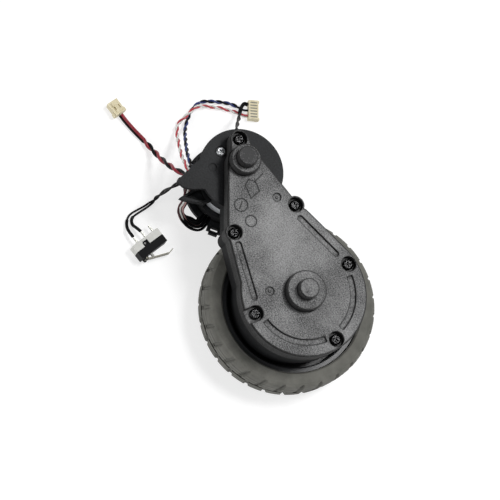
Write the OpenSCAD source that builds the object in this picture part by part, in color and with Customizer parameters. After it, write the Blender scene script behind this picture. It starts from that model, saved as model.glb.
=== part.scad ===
// Robot vacuum wheel module: driven wheel, gearbox, motor, drop switch and leads.
// Origin on the wheel axis at the wheel's outer face. +Z runs up the wheel axis
// to the gearbox cover, +X runs from the wheel axis to the pivot boss.

/* [Wheel] */
// Tyre diameter over the tread
tyre_d = 70; // [68:0.5:72]
// Tyre width between its side faces
tyre_w = 18.6; // [18:0.1:19.4]
// Thickness of the tyre between the rim seat and the tread
tyre_t = 6.6; // [6:0.1:6.8]
// Width of the rim lip inside the tyre
lip_w = 2.3; // [1.6:0.1:2.5]
// How far the rim lip lies below the tyre's side face
lip_drop = 1.8; // [1:0.1:3]
// Thickness of the rim's web
web_t = 2; // [1.4:0.1:2.6]
// Ribs on the outer side of the web
rib_count = 8; // [5:1:12]
// Tread lugs in each row
lug_count = 28; // [22:1:32]
// Depth of the grooves between the lugs
groove_depth = 1.3; // [0.8:0.1:1.6]
// Width of the grooves between the lugs at their floor
groove_w = 1; // [0.8:0.1:1.4]
// Depth of the fine rings round the lugs
sipe_d = 0.3; // [0.2:0.05:0.4]

/* [Gearbox] */
// Height of the cover from the joint to its top face
cover_h = 7; // [6.8:0.1:8]
// Height of the base from the neck's underside to the joint
base_h = 7.5; // [7.4:0.1:7.7]
// Wall of the base and the cover
wall = 1.6; // [1.2:0.1:1.8]
// Thickness of the cover's top plate
cover_t = 2; // [1.8:0.1:2.2]
// Radius of the cover's big end round the wheel axis
big_r = 25.2; // [25:0.1:25.8]
// Distance of the cover's long left edge from the wheel axis
left_edge = 23.8; // [23.4:0.1:24.2]
// Distance from the wheel axis to the pivot boss
pivot_x = 56; // [55.6:0.1:56.4]
// Radius of the cover's pad round the pivot boss
pad_r = 6.5; // [6.3:0.1:6.8]
// Gap between the tyre's side face and the neck
neck_gap = 1.9; // [1.5:0.1:2.2]
// Gap round the well that hangs in the wheel's cup
well_gap = 1.9; // [1.6:0.1:2.2]
// How far the well hangs below the neck
well_h = 7.3; // [7:0.1:8]
// Thickness of the floors of the base
floor_t = 1.7; // [1.4:0.1:1.8]
// Radius of the collar round each boss on the cover
collar_r = 6; // [5.6:0.1:6.2]
// Height of the collars
collar_h = 3.5; // [3:0.1:4]
// Radius of the pivot pin and of the pin over the wheel axis
pivot_r = 3.9; // [3.5:0.1:4.2]
// Length of both pins above their collars
pivot_l = 3.5; // [2.5:0.1:5]

/* [Screws] */
// Shank radius of the cover screws
screw_r = 1; // [0.8:0.05:1.1]
// Head radius of the cover screws
head_r = 2.1; // [1.8:0.1:2.4]
// Head height of the cover screws
head_h = 1.4; // [1.1:0.1:1.6]
// Radius of the counterbores in the cover
bore_r = 3.05; // [2.8:0.05:3.1]
// Depth of the counterbores in the cover
bore_d = 2.1; // [1.8:0.1:2.4]
// Radius of the screw posts
post_r = 2.6; // [2.3:0.1:2.7]

/* [Gears] */
// Module of the first three gear pairs
fine_m = 0.5; // [0.48:0.01:0.5]
// Module of the last gear pair
coarse_m = 0.8; // [0.76:0.01:0.8]
// Backlash along the pitch circle
backlash = 0.1; // [0.06:0.01:0.16]
// Pressure angle of the teeth
pressure_angle = 25; // [22:1:26]
// Radius of the gear pins
pin_r = 0.75; // [0.6:0.05:0.8]
// Radius of the wheel's drive shaft
shaft_r = 3; // [2.6:0.1:3.2]
// Radial clearance of all running fits
run_gap = 0.04; // [0.02:0.01:0.08]

/* [Motor] */
// Motor can radius
can_r = 13.8; // [13.4:0.1:14]
// Motor can length
can_l = 19.6; // [19:0.1:20]
// Motor shaft radius
motor_shaft_r = 1; // [0.8:0.05:1.1]
// Wall of the sleeve round the motor
sleeve_t = 1.75; // [1.4:0.05:2]
// Radius of the drum plate
drum_r = 17; // [16.8:0.1:17.4]
// Thickness of the drum plate
drum_t = 2; // [1.8:0.1:2.2]
// Radius of the flange at the sleeve's lower end
flange_r = 18.2; // [17.6:0.1:18.6]
// Height of the sleeve's lower end above the wheel's outer face
sleeve_z = 2.4; // [2.2:0.1:2.6]
// Height of the window in the sleeve
window_h = 9.5; // [8:0.5:10]

/* [Switch] */
// Length of the drop switch
switch_l = 12.8; // [12:0.1:13.4]
// Thickness of the drop switch as it lies
switch_t = 5.8; // [5:0.1:6.4]
// Free angle of the switch lever
lever_angle = 21; // [18:0.5:24]
// Travel angle of the switch lever
lever_travel = 10; // [6:0.5:12]

/* [Leads] */
// Width of the twisted motor pair
motor_lead_d = 2.2; // [2:0.1:2.4]
// Width of each twisted sensor pair
sensor_lead_d = 1.4; // [1.2:0.1:1.6]
// Diameter of one switch wire
switch_wire_d = 0.9; // [0.8:0.05:1]

/* [Hidden] */

$fn = 64;
eps = 0.05;

// Heights that follow from the driving sizes
rim_r = tyre_d / 2 - tyre_t;
well_r = rim_r - lip_w - well_gap;
neck_z = tyre_w + neck_gap;
well_z = neck_z - well_h;
split_z = neck_z + base_h;
cover_top = split_z + cover_h;
rim_top = tyre_w - lip_drop;
rim_low = 1.4;
web_z = rim_low + 2;
hub_r = 7.5;
hub_top = well_z - 2;
cavity_top = cover_top - cover_t;
well_floor = well_z + floor_t;
neck_floor = neck_z + floor_t;
collar_top = cover_top + collar_h;
pin_top = collar_top + pivot_l;

// Places of the screws: tip, left shoulder, right shoulder and three round the big end
tip_pos = [65, -2.2];
left_pos = [31.4, 15.6];
right_pos = [32.7, -11.8];
ring_screw_r = big_r - bore_r - 0.45;
edge_screw_r = left_edge - 2.45;
ring_angles = [-170, -81];
edge_angle = 90.8;
function polar(r, a) = [r * cos(a), r * sin(a)];
screw_places = [tip_pos, left_pos, right_pos, polar(ring_screw_r, ring_angles[0]),
    polar(ring_screw_r, ring_angles[1]), polar(edge_screw_r, edge_angle)];

// Gear train, from the motor at the drum's centre to the wheel axis
motor_pos = [54.5, 0];
motor_teeth = 14;
big_1 = 34;
small_1 = 14;
big_2 = 40;
small_2 = 14;
big_3 = 32;
small_3 = 12;
output_teeth = 43;
function pair_a(z1, z2, m) = (z1 + z2) * m / 2;
dir_1 = 174.3;
dir_2 = 180;
pos_1 = motor_pos + polar(pair_a(motor_teeth, big_1, fine_m), dir_1);
pos_2 = pos_1 + polar(pair_a(small_1, big_2, fine_m), dir_2);
// The third pin stands where both of its centre distances are met
reach_3 = pair_a(small_3, output_teeth, coarse_m);
reach_2 = pair_a(small_2, big_3, fine_m);
span_2 = norm(pos_2);
turn_3 = acos((reach_3 * reach_3 + span_2 * span_2 - reach_2 * reach_2) / (2 * reach_3 * span_2));
pos_3 = polar(reach_3, atan2(pos_2[1], pos_2[0]) + turn_3);
pin_places = [pos_1, pos_2, pos_3];
function aim(from, to) = atan2(to[1] - from[1], to[0] - from[0]);

// Gear levels, from the cover down to the base
gap = 0.2;
level_1 = [split_z + 2.6, cavity_top - 0.4];
level_2 = [split_z + 0.4, split_z + 2.3];
level_3 = [split_z - 1.6, split_z + 0.2];
level_4 = [neck_floor + 0.6, split_z - 1.8];
post_top = split_z + 2.6;

// Motor stack
can_top = split_z - drum_t;
can_low = can_top - can_l;
can_t = 0.9;
sleeve_bore = can_r + 0.05;
sleeve_r = sleeve_bore + sleeve_t;
cap_low = can_low - 0.8;
board_z = sleeve_z + 0.2;
board_t = 1;
board_r = can_r + 0.4;
magnet_in = can_r - can_t - 3.5;
armature_r = magnet_in - 0.6;
motor_screw_r = can_r - 3;
terminal_r = can_r - 6.3;
motor_screw_places = [motor_pos + polar(motor_screw_r, 25), motor_pos + polar(motor_screw_r, 205)];
motor_head_r = 1.9;

// Drop switch, lying on its side on the same floor as the wheel
switch_pos = [43, 39.6];
switch_turn = -75;
cover_w = 3.3;
base_w = 3.2;
lever_t = 0.35;
lever_w = 3.2;
lever_l = 9.8;
tip_l = 2.3;
hinge_x = 1.8 - switch_l / 2;
hinge_y = -cover_w / 2 - 0.65;
hinge_r = 0.35;
button_x = hinge_x + 3.2;
button_r = 0.6;
terminal_pitch = 4;
terminal_x = 1;

// Connectors
plug_pos = [102.4, 28.9];
plug_turn = 14;
plug_size = [6, 4.6, 3.6];
socket_pos = [81.9, -25.3];
socket_turn = -25;
socket_size = [8.4, 4.2, 2.9];
socket_pitch = 1.25;
socket_pins = 6;

// Routes of the free leads, from where they leave the ear or the drum
motor_route = [[61.2, 19.3, 25.7], [62.2, 19.9, 22.4], [65.5, 21.5, 19], [70.5, 22, 13], [75.5, 22, 7],
    [80, 22, 3], [84.5, 23, 1.3], [91.5, 25.7, 1.3], [96, 27.2, 1.4], [99.2, 28.1, 1.8]];
dark_route = [[63.4, 16.2, 25.7], [64.7, 16.5, 23], [68, 15.5, 21], [72, 13.5, 16.5], [81, 8, 6.5],
    [85, 5, 2.5], [88.5, 2, 0.9], [91.5, -1.5, 0.9], [93, -5.5, 0.9], [92, -10, 0.9],
    [88.5, -17, 0.9], [85.2, -20.4, 1], [83.5, -21.8, 1.3], [82.8, -23.3, 1.4]];
red_route = [[62.2, 17.4, 25.7], [63.5, 18.2, 22.6], [67.5, 17.5, 20], [71.5, 15.8, 15], [80, 11.5, 6],
    [84, 9.5, 2.8], [87.5, 7, 1.3], [89, 3.5, 2.2], [90.3, 0.2, 2.7], [91.3, -3.2, 2.6],
    [90.5, -7.5, 1.1], [88, -12.5, 0.9], [85, -17, 0.9], [81.3, -20.7, 1.3], [80.6, -22.2, 1.4]];
black_route = [[71, -6.5, 24.6], [74, -9.5, 19], [80.5, -17, 6], [84, -20, 3.6], [85.8, -22.8, 2], [85.1, -24.3, 1.4]];
wire_a_route = [[60.2, 21.3, 25.7], [60.2, 22.5, 22], [61, 25, 16.5], [62, 28, 5.5], [61.5, 30.5, 1.5],
    [60.5, 34, 0.6], [59.5, 40.5, 0.6], [58, 43, 0.6], [55.5, 44.5, 1], [53, 45, 2.2], [49.9, 44.5, 2.9]];
wire_b_route = [[59.2, 21.3, 25.7], [59.2, 22.5, 22], [60, 25, 16.5], [61, 28, 5.5], [60.5, 30.2, 1.5],
    [59.5, 33.8, 0.6], [58.2, 39.8, 0.6], [57, 41.6, 0.6], [55, 42.2, 1], [53, 41.6, 2.2], [50.9, 40.7, 2.9]];
loop_route = [[48, 11, 4], [44.7, 16.3, 4.1], [44.1, 18.4, 4.2], [45.2, 20.2, 4.3],
    [47.2, 21.6, 4.6], [49.4, 22.8, 5.3], [51.3, 23.4, 7], [52.6, 23.2, 9.4], [53.4, 22.4, 12],
    [54.5, 21.5, 14.5], [56.1, 20.6, 16.9], [57.5, 19.8, 19.4], [58.4, 19.3, 25.7]];
loop_d = 2.8;
channel_r = 0.7;
channel_from = -22;
channel_to = 33;

// Tooth outline of a gear with its first tooth on the X axis
function inv(a) = tan(a) - a * PI / 180;
function half_tooth(r, z, m) =
    let (rb = z * m / 2 * cos(pressure_angle), a = r > rb ? acos(rb / r) : 0)
    (90 / z - backlash * 90 / (PI * z * m / 2) + (inv(pressure_angle) - inv(a)) * 180 / PI);
function flank_radii(z, m) =
    let (root = z * m / 2 - 1.15 * m, tip = z * m / 2 + 0.9 * m,
        low = max(root + 0.05, z * m / 2 * cos(pressure_angle)))
    [root, low, (low * 2 + tip) / 3, (low + tip * 2) / 3, tip];
function tooth(z, m) = let (r = flank_radii(z, m), n = len(r) - 1) concat(
    [for (i = [0:n]) polar(r[i], -half_tooth(r[i], z, m))],
    [for (i = [n:-1:0]) polar(r[i], half_tooth(r[i], z, m))]);
function turned(p, a) = [p[0] * cos(a) - p[1] * sin(a), p[0] * sin(a) + p[1] * cos(a)];
function gear_points(z, m) = [for (k = [0:z - 1]) for (p = tooth(z, m)) turned(p, 360 * k / z)];
module gear(z, m, from, to, phase) {
    translate([0, 0, from]) rotate(phase) linear_extrude(to - from) polygon(gear_points(z, m));
}
function gear_outer(z, m) = z * m / 2 + 0.9 * m;

// A rod or a hole along Z between two heights
module rod(r, from, to) {
    translate([0, 0, from]) cylinder(r = r, h = to - from);
}
module at(p) {
    translate([p[0], p[1], 0]) children();
}

// Flat shape between two circles, bounded by their outer tangents
module belt(p1, r1, p2, r2) {
    d = norm(p2 - p1);
    a = aim(p1, p2);
    b = acos((r1 - r2) / d);
    translate(p1) circle(r1);
    translate(p2) circle(r2);
    // the straight sides stand a hair inside both circles, so that each meets them in one clean line
    q1 = r1 - 0.006;
    q2 = r2 - 0.006;
    polygon([p1 + polar(q1, a + b), p1 + polar(q1, a - b), p2 + polar(q2, a - b), p2 + polar(q2, a + b)]);
}

// Outline of the gearbox, drawn in by an inset
pivot_pos = [pivot_x, 0];
hub_pos = [0, 0];
shoulder_r = 2.8;
corner_pos = [28.2, -13];
corner_r = 2.5;
left_normal = aim(hub_pos, left_pos) + acos((left_edge - shoulder_r) / norm(left_pos));
module left_cut(inset) {
    foot = polar(left_edge - inset, left_normal);
    along = polar(40, left_normal - 90);
    back = polar(foot[0] - 1, left_normal + 180 - 90);
    translate(foot) polygon([back, along, along + polar(9, left_normal), back + polar(9, left_normal)]);
}
module body_2d(inset) {
    difference() {
        circle(big_r - inset, $fn = 120);
        left_cut(inset);
    }
    belt(hub_pos, left_edge - inset, left_pos, shoulder_r - inset);
    belt(left_pos, shoulder_r - inset, pivot_pos, pad_r - inset);
    belt(hub_pos, big_r - inset, corner_pos, corner_r - inset);
    belt(right_pos + [0, 1.6], 2.7 - inset, pivot_pos, pad_r - inset);
    polygon([hub_pos, left_pos, pivot_pos, right_pos]);
}
module outline_2d(inset) {
    body_2d(inset);
    translate(left_pos) circle(bore_r + 0.65 - inset);
    translate(right_pos) circle(bore_r + 0.65 - inset);
    belt(pivot_pos, pad_r - 1 - inset, tip_pos, bore_r + 0.65 - inset);
}
module slab(from, to, inset) {
    translate([0, 0, from]) linear_extrude(to - from) outline_2d(inset);
}
module hollow(from, to, inset) {
    translate([0, 0, from]) linear_extrude(to - from) body_2d(inset);
}

// Ear beside the drum that guides the leads
ear_tip = [59, 24.4];
ear_low = split_z - 8;
module ear() {
    translate([0, 0, split_z - drum_t]) linear_extrude(drum_t) {
        translate(ear_tip) circle(1.5);
        polygon([[51.6, 15], [53.4, 18.8], [54.1, 20.9], [55.3, 23.2], [56.7, 24.7], [58.5, 25.5], [60.2, 24.8],
            [61.7, 20.3], [63.3, 17.8], [64.4, 14], [62, 9], [54, 9]]);
    }
    // two fins under the ear hold the leads between them
    translate([55, 14.8, ear_low]) cube([1.4, 3.8, split_z - drum_t - ear_low + eps]);
    translate([65.6, 9.8, split_z - 6]) rotate(20) cube([1.2, 5.2, 6 - drum_t + eps]);
}

// Pointed hook that keeps the leads against the sleeve
hook_z = split_z - 8.4;
hook_h = 2.4;
module hook() {
    difference() {
        translate([0, 0, hook_z]) linear_extrude(hook_h) polygon([[48.6, 14], [56.2, 14.4], [55.4, 19],
            [54.7, 23], [54.1, 26.2], [52.7, 24.6], [50.9, 21.8], [49.2, 18.9], [48.5, 16]]);
        // the hook is hollow from above
        translate([0, 0, hook_z + 0.6]) linear_extrude(hook_h) polygon([[49.6, 16.4], [54.6, 16.4], [54.4, 19],
            [53.8, 23.8], [51.6, 21.2], [50.1, 18.6]]);
    }
    translate([0, 0, hook_z - 3]) linear_extrude(3 + eps)
        polygon([[49.8, 14], [53.4, 14.4], [52.7, 17], [50.9, 17]]);
}

// Lug with a slot on the lower flange
lug_angle = 138;
module lug() {
    at(motor_pos) rotate(lug_angle) difference() {
        union() {
            translate([flange_r - 1.5, -3, sleeve_z]) cube([3.4, 6, 2.2]);
            translate([flange_r + 1.9, -1.8, sleeve_z]) cube([1.2, 3.6, 2.2]);
        }
        translate([flange_r + 0.4, -1.6, sleeve_z - 1]) cube([1.3, 3.2, 5]);
    }
}

window_low = sleeve_z + 7.1;
window_from = 107;
window_to = 136;
outlet_from = 114;
outlet_to = 127.5;
module sector(r, h, from, to) {
    mid = (from + to) / 2;
    half = (to - from) / 2;
    rotate(mid) linear_extrude(h)
        polygon([[0, 0], polar(r / cos(half), -half), polar(r / cos(half), half)]);
}

module gearbox_base() color("#3c3e42") {
    difference() {
        union() {
            slab(neck_z, split_z, 0.2);
            rod(well_r, well_z, neck_z + eps);
            at(motor_pos) rod(drum_r, split_z - drum_t, split_z);
            at(motor_pos) rod(sleeve_r, sleeve_z, split_z - drum_t + eps);
            at(motor_pos) rod(flange_r, sleeve_z, sleeve_z + 2.2);
            ear();
            hook();
            lug();
        }
        // gear cavity outside the motor sleeve, and the well below it
        difference() {
            hollow(neck_floor, split_z + 1, wall);
            at(motor_pos) rod(sleeve_r, neck_floor - 1, split_z + 2);
        }
        rod(well_r - wall, well_floor, neck_floor + eps);
        at(motor_pos) rod(sleeve_bore, sleeve_z - 1, can_top);
        at(motor_pos) rod(board_r + 0.1, sleeve_z - 1, board_z + board_t);
        at(motor_pos) rod(gear_outer(motor_teeth, fine_m) + 0.4, can_top - 1, split_z + 1);
        for (p = motor_screw_places) at(p) {
            rod(0.95, can_top - 1, split_z + 1);
            rod(motor_head_r + 0.35, split_z - 0.9, split_z + 1);
        }
        at(pos_1) rod(pin_r, can_top - 1, split_z + 1);
        // window that shows the motor can, and the outlet for the wires
        at(motor_pos) translate([0, 0, window_low]) sector(drum_r + 4, window_h, window_from, window_to);
        at(motor_pos) translate([0, 0, sleeve_z - 1]) sector(flange_r + 4, 4.6, outlet_from, outlet_to);
        // round mark on the drum plate
        at([59.6, 10.4]) rod(1.7, split_z - 0.4, split_z + 1);
        rod(shaft_r + 0.4, well_z - 1, well_floor + 1);
        rod(5.1, well_z - 1, well_z + 1);
        tip_pilot();
    }
    difference() {
        base_posts();
        for (p = screw_places) at(p) rod(screw_r, neck_z + 1, split_z + 1);
        at(pos_2) rod(pin_r, neck_z + 0.8, split_z + 1);
        at(pos_3) rod(pin_r, neck_z + 0.8, split_z + 1);
        rod(5, well_floor - eps, well_floor + 6);
        rod(shaft_r + 0.4, well_z - 1, well_floor + 1);
        at(motor_pos) rod(sleeve_bore, sleeve_z, can_top);
    }
}
bush_top = well_floor + 4;
module base_posts() {
    difference() {
        for (i = [1:5]) at(screw_places[i]) rod(post_r, i > 2 ? well_floor : neck_floor, split_z);
        difference() {
            translate([-40, -40, neck_floor - 20]) cube([120, 80, 40]);
            hollow(neck_floor - 21, split_z + 1, 0.2 + eps);
            rod(well_r - eps, well_floor - 1, neck_z);
        }
    }
    at(pos_2) rod(2.2, neck_floor - eps, level_3[0] - gap);
    // the third pin stands on a shelf over the well's edge
    at(pos_3) rod(2.6, neck_z + 0.3, level_4[0] - gap);
    rod(6.6, well_floor - eps, bush_top);
}
module tip_pilot() {
    at(tip_pos) rod(screw_r, split_z - drum_t - 3, split_z + 1);
    for (i = [1:5]) at(screw_places[i]) rod(screw_r, neck_z + 1, split_z + 1);
    for (i = [1:2]) at(pin_places[i]) rod(pin_r, neck_z + 0.8, split_z + 1);
}

// Grooves, dimples and moulding marks in the cover's top face
mark_d = 0.25;
groove_mid = big_r - 5.6;
groove_half = 1.15;
groove_cut = 0.7;
module bar_groove(p1, p2) {
    translate([0, 0, cover_top - groove_cut]) linear_extrude(1) belt(p1, groove_half, p2, groove_half);
}
module arc_groove(from, to) {
    translate([0, 0, cover_top - groove_cut]) rotate(from) rotate_extrude(angle = to - from)
        translate([groove_mid - groove_half, 0]) square([2 * groove_half, 1]);
}
module fine_ring(p, r) {
    at(p) difference() {
        rod(r + 0.15, cover_top - mark_d, cover_top + 1);
        rod(r - 0.15, cover_top - mark_d - 1, cover_top + 2);
    }
}
module fine_line(p1, p2) {
    translate([0, 0, cover_top - mark_d]) linear_extrude(1) belt(p1, 0.15, p2, 0.15);
}
module cover_marks() {
    bar_groove([26.5, 16.2], [5.5, 19.2]);
    bar_groove([27, -11.2], [9, -18.4]);
    arc_groove(-158, -93);
    arc_groove(103, 180);
    for (p = [[38.1, -6], [5.4, 12.6]]) at(p) difference() {
        rod(1.7, cover_top - 0.5, cover_top + 1);
        rod(0.45, cover_top - 1, cover_top - 0.1);
    }
    fine_ring([40.4, 8.8], 2.6);
    fine_line([39.3, 9.9], [41.5, 7.8]);
    fine_ring([33.1, 7.8], 2.2);
    // outline of an arched mould insert
    fine_line([47, 3.9], [41.4, 3.9]);
    fine_line([47, -0.5], [42.8, -0.5]);
    fine_line([41.4, 3.9], [42.8, -0.5]);
    fine_line([47, 3.9], [48.6, 1.7]);
    fine_line([48.6, 1.7], [47, -0.5]);
    fine_line([47, -0.5], [48.8, -4.8]);
}

// Top edge of the cover in fine steps, which rounds it off
edge_steps = [0, 0.1, 0.28, 0.55];
step_h = 0.2;
module gearbox_cover() color("#5b5c60") {
    edge_low = cover_top - step_h * len(edge_steps);
    difference() {
        union() {
            slab(split_z, edge_low + step_h, 0);
            for (i = [1:len(edge_steps) - 1]) slab(edge_low, edge_low + step_h * (i + 1), edge_steps[i]);
            at(screw_places[5]) rod(bore_r + 0.4, split_z + 0.4, cover_top - bore_d);
            boss(hub_pos, collar_r + 1.8);
            boss(pivot_pos, collar_r);
        }
        difference() {
            hollow(split_z - 1, cavity_top, wall);
            for (i = [1:5]) at(screw_places[i]) {
                rod(post_r, split_z - 2, cavity_top + 1);
                rod(bore_r + 0.5, cover_top - bore_d - 1.2, cavity_top + 1);
            }
            for (i = [1:2]) at(pin_places[i]) rod(2.2, post_top, cavity_top + 1);
            rod(6.8, split_z + 0.4, cavity_top + 1);
        }
        for (p = screw_places) at(p) {
            rod(bore_r, cover_top - bore_d, cover_top + 1);
            rod(screw_r + 0.2, split_z - 1, cover_top);
        }
        // the left screw's counterbore is open at the cover's edge
        at(screw_places[5]) rotate(edge_angle) translate([0, 0.12 - bore_r, cover_top - bore_d])
            cube([5, 2 * bore_r - 0.24, bore_d + 1]);
        for (p = pin_places) at(p) rod(pin_r, split_z, cavity_top + 1.2);
        rod(5, split_z - 1, collar_top - 2);
        cover_marks();
    }
}
module boss(p, r) {
    at(p) rod(r, cover_top - 1, collar_top - 0.3);
    at(p) rod(r - 0.3, cover_top - 1, collar_top);
    at(p) rod(pivot_r, cover_top - 1, pin_top - 0.3);
    at(p) rod(pivot_r - 0.3, cover_top - 1, pin_top);
}

// Pan head screw with a cross recess, its head seat at z = 0
module pan_screw(r, length, hr, hh) {
    difference() {
        union() {
            rod(r, -length, eps);
            rod(hr, 0, hh * 0.6);
            translate([0, 0, hh * 0.6]) cylinder(r1 = hr, r2 = hr * 0.72, h = hh * 0.4);
        }
        translate([-hr * 0.55, -hr * 0.13, hh * 0.35]) cube([hr * 1.1, hr * 0.26, hh]);
        translate([-hr * 0.13, -hr * 0.55, hh * 0.35]) cube([hr * 0.26, hr * 1.1, hh]);
    }
}
screw_turns = [20, 65, 10, 40, 75, 30];
module cover_screws() color("#1b1b1d") {
    for (i = [0:5]) translate([screw_places[i][0], screw_places[i][1], cover_top - bore_d])
        rotate(screw_turns[i])
        pan_screw(screw_r, i == 0 ? cover_top - bore_d - split_z + drum_t : 9, head_r, head_h);
}
module motor_screws() color("#c9cacc") {
    for (i = [0, 1]) translate([motor_screw_places[i][0], motor_screw_places[i][1], split_z - 0.9])
        rotate(35 + 50 * i) pan_screw(0.9, drum_t - 0.9 + 0.6, motor_head_r, 1.5);
}

module gear_pins() color("#b9bbbd") {
    lows = [can_top + 0.4, neck_z + 0.8, neck_z + 0.8];
    for (i = [0:2]) at(pin_places[i]) rod(pin_r, lows[i], cavity_top + 1.1);
}
module lower_bush() color("#9a7d4c") {
    difference() {
        rod(5, well_floor, bush_top - 0.1);
        rod(shaft_r + run_gap, well_floor - 1, bush_top + 1);
    }
}
module upper_bush() color("#9a7d4c") {
    difference() {
        rod(5, split_z + 2, collar_top - 2.1);
        rod(shaft_r + run_gap, split_z, collar_top);
    }
}
module dust_seal() color("#202022") {
    difference() {
        rod(5, well_z + 0.1, well_z + 0.9);
        rod(shaft_r + 0.08, well_z - 1, well_z + 2);
    }
}

// Motor: steel can, two magnets, end cap, bushes, terminals and the wound rotor
module motor_can() color("#c4c6c9") {
    at(motor_pos) difference() {
        rod(can_r, can_low, can_top);
        rod(can_r - can_t, can_low - 1, can_top - can_t);
        rod(3, can_low, can_top + 1);
        for (a = [25, 205]) rotate(a) translate([motor_screw_r, 0, 0]) rod(0.9, can_low, can_top + 1);
    }
}
module motor_magnets() color("#4a4a4d") {
    at(motor_pos) for (a = [20, 200]) rotate(a) translate([0, 0, can_low + 4])
        rotate_extrude(angle = 140) translate([magnet_in, 0]) square([can_r - can_t - magnet_in, can_l - 7]);
}
module motor_end_cap() color("#26272a") {
    at(motor_pos) difference() {
        union() {
            rod(can_r - can_t, cap_low, can_low + 1.8);
            rod(4.2, cap_low, can_low + 2.6);
        }
        rod(2.5, cap_low - 1, can_low + 4);
        for (s = [-1, 1]) translate([terminal_r * s - 0.3, -1.25, cap_low - 1]) cube([0.6, 2.5, 2]);
    }
}
module motor_bushes() color("#a8854a") {
    at(motor_pos) difference() {
        union() {
            rod(2.5, cap_low + 0.1, can_low + 2.5);
            rod(3, can_top - 2, can_top + 0.9);
        }
        rod(motor_shaft_r + run_gap, 0, split_z + 1);
    }
}
module brush_terminals() color("#c99b4a") {
    at(motor_pos) for (s = [-1, 1]) translate([terminal_r * s - 0.25, -1.2, board_z - 0.8])
        cube([0.5, 2.4, cap_low + 1 - board_z + 0.8]);
}
module encoder_board() color("#2f6b45") {
    at(motor_pos) difference() {
        rod(board_r, board_z, board_z + board_t);
        for (s = [-1, 1]) translate([terminal_r * s - 0.35, -1.3, board_z - 1]) cube([0.7, 2.6, 3]);
        rotate((outlet_from + outlet_to) / 2) translate([board_r - 1.8, -2.2, board_z - 1]) cube([4, 4.4, 3]);
    }
}
module hall_sensor() color("#1c1c1e") {
    at(motor_pos) rotate(-60) translate([5.2, -1.6, board_z + board_t]) cube([1.6, 3.2, 1]);
}
magnet_low = board_z + board_t + 0.4;
module motor_shaft() color("#c9cbcd") {
    at(motor_pos) rod(motor_shaft_r, magnet_low - 0.2, level_1[1] + 0.1);
}
module armature() color("#8a5a35") {
    at(motor_pos) difference() {
        union() {
            rod(armature_r, can_low + 5.2, can_top - 4.6);
            rod(armature_r - 1.6, can_low + 3.9, can_top - 3.3);
        }
        rod(motor_shaft_r, can_low, can_top);
        for (k = [0:4]) rotate(72 * k) translate([armature_r - 3.3, -0.5, can_low + 3]) cube([4, 1, can_l]);
    }
}
module commutator() color("#b87840") {
    at(motor_pos) difference() {
        rod(2.4, can_low + 2.8, can_low + 3.9);
        rod(motor_shaft_r, can_low, can_top);
    }
}
module motor_pinion() color("#d0a850") {
    at(motor_pos) difference() {
        gear(motor_teeth, fine_m, split_z + 0.5, level_1[1], aim(motor_pos, pos_1));
        rod(motor_shaft_r, split_z, cover_top);
    }
}
module encoder_magnet() color("#333336") {
    at(motor_pos) difference() {
        rod(4.4, magnet_low, cap_low - 0.4);
        rod(motor_shaft_r, 0, can_low);
    }
}

// Compound gears run on fixed pins
module compound(i, big_z, from, to, big_m, small_z, s_from, s_to, small_m, big_phase, small_phase) {
    at(pin_places[i]) difference() {
        union() {
            gear(big_z, big_m, from, to, big_phase);
            gear(small_z, small_m, s_from, s_to, small_phase);
            children();
        }
        rod(pin_r + run_gap, 0, cover_top);
    }
}
function meshed(z, from, to) = aim(from, to) + 180 / z;
module compound_gear_1() color("#e6e4dc") {
    compound(0, big_1, level_1[0], level_1[1], fine_m, small_1, split_z + gap, level_1[0] + eps, fine_m,
        meshed(big_1, pos_1, motor_pos), aim(pos_1, pos_2))
        rod(2, split_z + gap, cavity_top - gap);
}
module compound_gear_2() color("#e6e4dc") {
    compound(1, big_2, level_2[0], level_2[1], fine_m, small_2, level_3[0] - gap / 2, level_2[0] + eps, fine_m,
        meshed(big_2, pos_2, pos_1), aim(pos_2, pos_3))
        rod(2, level_3[0] - gap / 2, post_top - gap);
}
module compound_gear_3() color("#e6e4dc") {
    compound(2, big_3, level_3[0], level_3[1], fine_m, small_3, level_4[0], level_3[0] + eps, coarse_m,
        meshed(big_3, pos_3, pos_2), aim(pos_3, hub_pos));
}
module output_gear() color("#dcd9cf") {
    hub_low = bush_top + gap;
    difference() {
        union() {
            gear(output_teeth, coarse_m, level_4[0], level_4[1], meshed(output_teeth, hub_pos, pos_3));
            rod(6, hub_low, split_z + gap);
        }
        rod(shaft_r, 0, cover_top);
        for (k = [0:5]) rotate(60 * k) translate([10.8, 0, 0]) rod(2.6, level_4[0] - 1, level_4[1] + 1);
    }
}

// Drive shaft: round in its bushes, hexagonal in the wheel's hub
hex_low = web_z + 1.4;
module drive_shaft() color("#b4b6b9") {
    difference() {
        union() {
            rod(shaft_r, hub_top, collar_top - 2.3);
            translate([0, 0, hex_low]) cylinder(r = shaft_r, h = hub_top - hex_low + eps, $fn = 6);
        }
        rod(1.5, 0, hub_top - 0.8);
    }
}

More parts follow.
